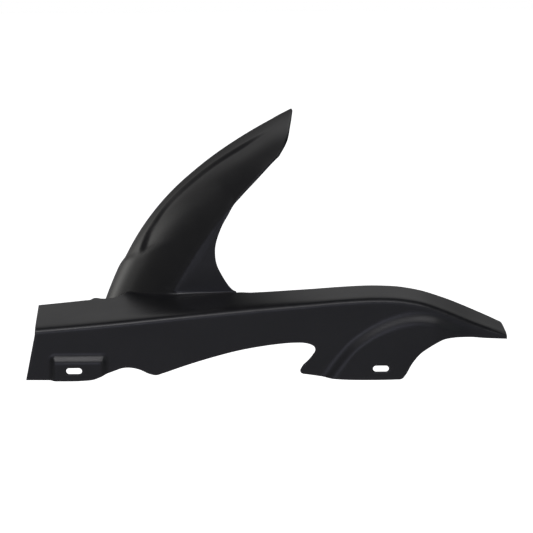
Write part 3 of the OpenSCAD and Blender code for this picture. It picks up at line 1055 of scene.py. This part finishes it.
@dataclass(frozen=True)
class MouldedPlastic:
    """Satin black moulded plastic with grain, flow waves, worn free edges, a painted highlight
    along the fold and crease, and a trace of dust.
    """

    slot: str = "black_plastic"
    colour: tuple[float, float, float] = (0.0072, 0.0072, 0.0082)
    # Lighter colour of the worn free edges, also used for the painted highlight along the fold and
    # crease.
    worn_and_highlight_colour: tuple[float, float, float] = (0.034, 0.034, 0.037)
    dusty: tuple[float, float, float] = (0.11, 0.105, 0.10)
    roughness: float = 0.34
    inside_roughness: float = 0.46
    ior: float = 1.50
    specular: float = 0.36
    grain_scale: float = 1500.0
    wear_and_highlight_amount: float = 0.55
    dust_amount: float = 0.05
    bump: float = 0.12
    bump_height: float = 0.0002

    def material(self) -> bpy.types.Material:
        """Builds the material.

        Returns:
            The material.
        """
        made = bpy.data.materials.new("satin_black_plastic")
        made.use_nodes = True
        kit = NodeKit(made.node_tree)
        place = kit.add("ShaderNodeTexCoord").outputs["Object"]
        normal = kit.add("ShaderNodeNewGeometry").outputs["Normal"]
        edge, inside = (
            kit.add("ShaderNodeAttribute", attribute_name=mark.value).outputs["Fac"]
            for mark in Mark)
        given = {"Vector": place, "Grain Scale": self.grain_scale, "Grain": 0.5, "Waves": 1.0}
        grain = kit.group(mould_grain(), given)
        given = {"Vector": place, "Mark": edge, "Amount": self.wear_and_highlight_amount}
        wear_and_highlight = kit.group(wear_and_highlight_group(), given)["Wear And Highlight"]
        given = {"Vector": place, "Normal": normal, "Amount": self.dust_amount}
        dust = kit.group(settled_dust(), given)["Dust"]
        patches = grain["Patches"]
        tone = kit.map(patches, 0.3, 0.7, 0.0, 0.35)
        lighter = tuple(1.3 * c for c in self.colour) + (1.0,)
        base = kit.mix(tone, self.colour + (1.0,), lighter)
        # Lighter colour at the worn free edges and a painted highlight along the fold and crease.
        base = kit.mix(wear_and_highlight, base, self.worn_and_highlight_colour + (1.0,))
        base = kit.mix(dust, base, self.dusty + (1.0,))
        rough = kit.map(inside, 0.0, 1.0, self.roughness, self.inside_roughness)
        rough = kit.math("ADD", rough, kit.map(patches, 0.3, 0.7, -0.025, 0.035))
        rough = kit.math("ADD", rough, kit.math("MULTIPLY", wear_and_highlight, 0.08))
        rough = kit.math("ADD", rough, kit.math("MULTIPLY", dust, 0.25), clamp=True)
        bump = kit.add("ShaderNodeBump", {
            "Strength": self.bump, "Distance": self.bump_height, "Height": grain["Height"]})
        shader = kit.add("ShaderNodeBsdfPrincipled", {
            "IOR": self.ior, "Specular IOR Level": self.specular, "Base Color": base,
            "Roughness": rough, "Normal": bump.outputs["Normal"]})
        kit.add("ShaderNodeOutputMaterial", {"Surface": shader.outputs[0]})
        return made


# Studio


@dataclass(frozen=True)
class Softbox:
    """A soft rectangular lamp that looks at a point of the object."""

    name: str
    place: tuple[float, float, float]
    size: tuple[float, float]
    power: float
    tint: tuple[float, float, float]
    target: tuple[float, float, float] = (0.04, 0.10, 0.08)

    def hang(self) -> None:
        """Makes the lamp and turns it to its target."""
        lamp = bpy.data.lights.new(self.name, "AREA")
        lamp.shape, lamp.size, lamp.size_y = "RECTANGLE", self.size[0], self.size[1]
        lamp.energy, lamp.color = self.power, self.tint
        obj = link(bpy.data.objects.new(self.name, lamp))
        obj.location = self.place
        aim = Vector(self.target) - Vector(self.place)
        obj.rotation_euler = aim.to_track_quat("-Z", "Y").to_euler()


@dataclass(frozen=True)
class Panel:
    """A soft bright patch of the room around the object.

    Its light is the strength times the cosine of the angle to its middle, to the power of its
    tightness.
    """

    azimuth: float
    height: float
    strength: float
    tightness: float = 30.0
    tint: tuple[float, float, float] = (1.0, 1.0, 1.0)

    def light(self, kit: NodeKit, place: object, below: object) -> Socket:
        """Adds the panel's light to what the room already has.

        Args:
            kit: The world's nodes.
            place: Direction socket.
            below: Colour of the room so far.

        Returns:
            The colour with the panel added.
        """
        turn, rise = math.radians(self.azimuth), math.radians(self.height)
        middle = (math.cos(rise) * math.cos(turn), math.cos(rise) * math.sin(turn), math.sin(rise))
        dot = kit.add("ShaderNodeVectorMath", {0: place, 1: middle}, operation="DOT_PRODUCT")
        near = kit.math("MAXIMUM", dot.outputs["Value"], 0.0)
        near = kit.math("POWER", near, self.tightness)
        colour = tuple(self.strength * c for c in self.tint) + (1.0,)
        return kit.mix(near, below, colour, "ADD")


@dataclass(frozen=True)
class Studio:
    """Pale floor, plain backdrop, soft lamps and the photograph's camera."""

    elevation: float = 12.0
    roll: float = 0.467
    distance: float = 2.5
    aim: tuple[float, float, float] = (0.039844, 0.0, 0.105739)
    lens: float = 36.0 * 2521.984 / 533.0
    floor_z: float = -0.30
    floor_half: float = 6.0
    ground: float = 0.01
    lamps: tuple[Softbox, ...] = (
        Softbox("key", (-0.60, -1.00, 1.65), (0.8, 0.6), 13.0, (0.98, 0.97, 1.0)),
        Softbox("second_key", (0.42, -1.25, 1.65), (0.8, 0.6), 8.0, (0.98, 0.97, 1.0)),
    )
    panels: tuple[Panel, ...] = (
        Panel(257, 9, 3.0, 30, (0.81, 0.82, 1.0)),
        Panel(318, 8, 0.7, 14, (0.88, 1.0, 1.0)),
        Panel(154, 9, 3.0, 30, (1.0, 0.99, 0.96)),
        Panel(200, 5, 0.2, 10, (1.0, 1.0, 0.85)),
        Panel(128, 3, 0.7, 32, (1.0, 0.98, 0.94)),
        Panel(75, 31, 0.64),
        Panel(105, 31, 0.52),
        Panel(80, 50, 0.40),
    )

    def camera(self) -> None:
        """Makes the camera: level distance and height from its elevation, then its small roll."""
        data = bpy.data.cameras.new("camera")
        data.sensor_width, data.sensor_height, data.lens = 36.0, 36.0, self.lens
        data.clip_end = 50.0
        obj = link(bpy.data.objects.new("camera", data))
        e, a = math.radians(self.elevation), math.radians(self.roll)
        right = Vector((1.0, 0.0, 0.0))
        up = Vector((0.0, math.sin(e), math.cos(e)))
        ahead = Vector((0.0, math.cos(e), -math.sin(e)))
        x_axis = right * math.cos(a) - up * math.sin(a)
        y_axis = right * math.sin(a) + up * math.cos(a)
        turn = Matrix((x_axis, y_axis, -ahead)).transposed()
        place = Matrix.Translation(Vector(self.aim) - ahead * self.distance)
        obj.matrix_world = place @ turn.to_4x4()
        bpy.context.scene.camera = obj

    def world(self) -> None:
        """Lights the room by soft panels on a dim ground level, but shows the camera white."""
        world = bpy.data.worlds.new("studio")
        world.use_nodes = True
        bpy.context.scene.world = world
        kit = NodeKit(world.node_tree)
        place = kit.add("ShaderNodeTexCoord").outputs["Generated"]
        level = (self.ground,) * 3 + (1.0,)
        for panel in self.panels:
            level = panel.light(kit, place, level)
        room = kit.add("ShaderNodeBackground", {"Color": level}).outputs[0]
        plain = kit.add("ShaderNodeBackground", {"Color": WHITE}).outputs[0]
        kit.split_rays("ShaderNodeOutputWorld", room, plain)

    def floor(self) -> None:
        """Makes the pale floor, which keeps the object's shadow and looks white to the camera."""
        ends = (-self.floor_half, self.floor_half)
        mesh = bpy.data.meshes.new("floor")
        mesh.from_pydata([(x, y, self.floor_z) for y in ends for x in ends], [], [(0, 1, 3, 2)])
        obj = link(bpy.data.objects.new("floor", mesh))
        made = bpy.data.materials.new("pale_floor")
        made.use_nodes = True
        kit = NodeKit(made.node_tree)
        paint = kit.add("ShaderNodeBsdfDiffuse", {"Color": (0.8, 0.8, 0.81, 1.0)}).outputs[0]
        glow = kit.add("ShaderNodeEmission", {"Color": WHITE}).outputs[0]
        both = kit.add("ShaderNodeAddShader", {0: paint, 1: glow}).outputs[0]
        kit.split_rays("ShaderNodeOutputMaterial", paint, both)
        mesh.materials.append(made)

    def build(self) -> None:
        """Sets up colour handling, world, floor, lamps and camera."""
        bpy.context.scene.view_settings.view_transform = "Standard"
        self.world()
        self.floor()
        for lamp in self.lamps:
            lamp.hang()
        self.camera()


def main() -> None:
    """Builds the moulding, dresses it and sets up the studio."""
    logging.basicConfig(level=logging.INFO, format="%(name)s: %(message)s")
    finish = MouldedPlastic()
    body = Hugger().build()
    body.data.materials.clear()
    body.data.materials.append(finish.material())
    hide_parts("hugger")
    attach(body, "root")
    log.info("%s: %d points, %d faces", body.name, len(body.data.vertices), len(body.data.polygons))
    Studio().build()
    bpy.context.view_layer.update()


if __name__ == "__main__":
    main()
